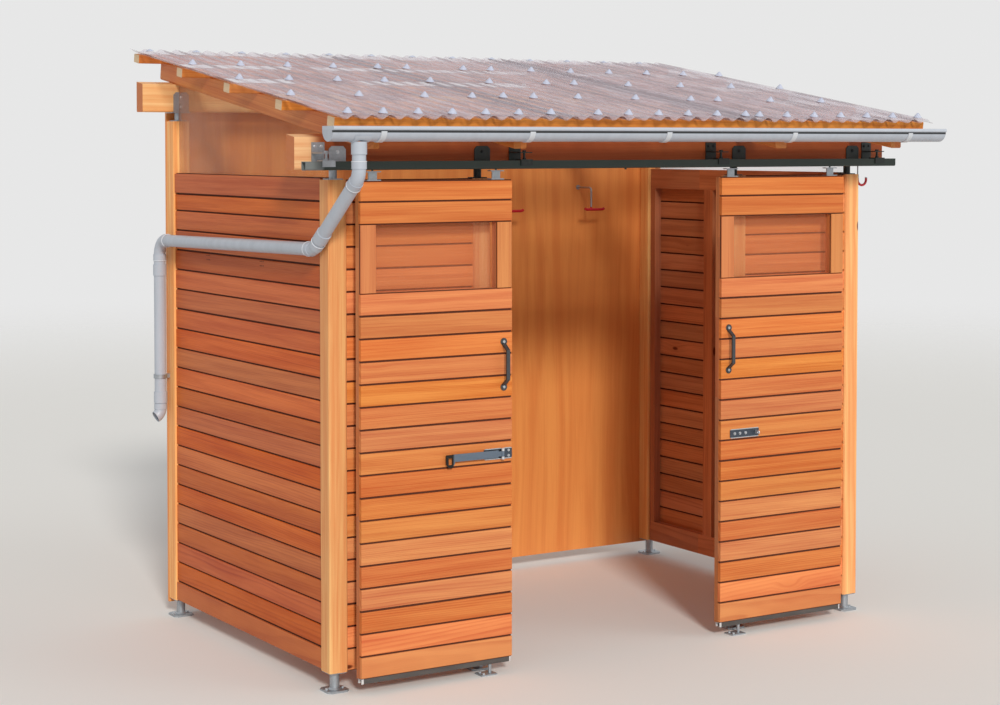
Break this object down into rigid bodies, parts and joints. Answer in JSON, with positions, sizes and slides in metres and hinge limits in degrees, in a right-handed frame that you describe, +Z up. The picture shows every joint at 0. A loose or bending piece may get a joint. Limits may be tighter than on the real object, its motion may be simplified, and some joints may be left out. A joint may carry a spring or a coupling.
{
  "type": "bike shelter",
  "caption": "Timber bike shelter with a lean-to roof of clear corrugated sheet, boarded walls and two sliding doors on a track.",
  "frame": {"origin": "middle of the footprint at the ground", "axes": "+X to the right along the front, +Y from the doors to the back wall, +Z up"},
  "size_m": [3.076, 2.079, 2.5877],
  "materials": {
    "timber": "oiled larch boards, satin",
    "light_timber": "planed and oiled, satin",
    "panel": "plywood panels, oiled, satin",
    "galvanised": "galvanised",
    "green_paint": "dark coated steel, satin",
    "grey_plastic": "grey rainwater plastic",
    "clear_sheet": "clear sheet, glossy",
    "red_coating": "red coating over steel"
  },
  "bodies": {
    "shelter": {"post_front_left": "light_timber", "post_front_right": "light_timber", "post_rear_left": "light_timber", "post_rear_right": "light_timber", "post_jamb_left": "light_timber", "post_jamb_right": "light_timber", "post_feet": "galvanised", "head_brackets": "galvanised", "beam_front": "timber", "beam_rear": "timber", "rafters": "timber", "purlins": "light_timber", "roof_sheets": "clear_sheet", "side_boards_left": "timber", "side_boards_right": "timber", "front_boards_left": "timber", "front_boards_right": "timber", "battens": "timber", "side_panes": "clear_sheet", "back_panels": "panel", "gutter": "grey_plastic", "gutter_caps": "grey_plastic", "gutter_brackets": "grey_plastic", "gutter_outlet": "grey_plastic", "pipe_drop": "grey_plastic", "pipe_run": "grey_plastic", "pipe_down": "grey_plastic", "pipe_shoe": "grey_plastic", "pipe_clip": "grey_plastic", "track": "green_paint", "track_brackets": "galvanised", "track_stops": "green_paint", "floor_guides": "galvanised", "bike_hooks": "red_coating", "outer_hook": "red_coating"},
    "left_door": {"left_door_boards": "timber", "left_door_frame": "light_timber", "left_door_pane": "clear_sheet", "left_door_channel": "galvanised", "left_door_hangers": "galvanised", "left_door_handle": "galvanised", "left_door_hasp": "galvanised"},
    "right_door": {"right_door_boards": "timber", "right_door_frame": "light_timber", "right_door_pane": "clear_sheet", "right_door_channel": "galvanised", "right_door_hangers": "galvanised", "right_door_handle": "galvanised", "right_door_staple": "galvanised"},
    "lock_bar": {"locking_bar": "galvanised"}
  },
  "joints": [
    {"name": "left_door_slide", "type": "slide", "parent": "shelter", "child": "left_door", "axis": [1, 0, 0], "range_m": [0, 0.576]},
    {"name": "right_door_slide", "type": "slide", "parent": "shelter", "child": "right_door", "axis": [-1, 0, 0], "range_m": [-0.082, 0.494]},
    {"name": "lock_bar_swing", "type": "hinge", "parent": "left_door", "child": "lock_bar", "pos_m": [-0.631, -0.76051, 0.901], "axis": [0, 0, 1], "range_deg": [0, 180]}
  ]
}
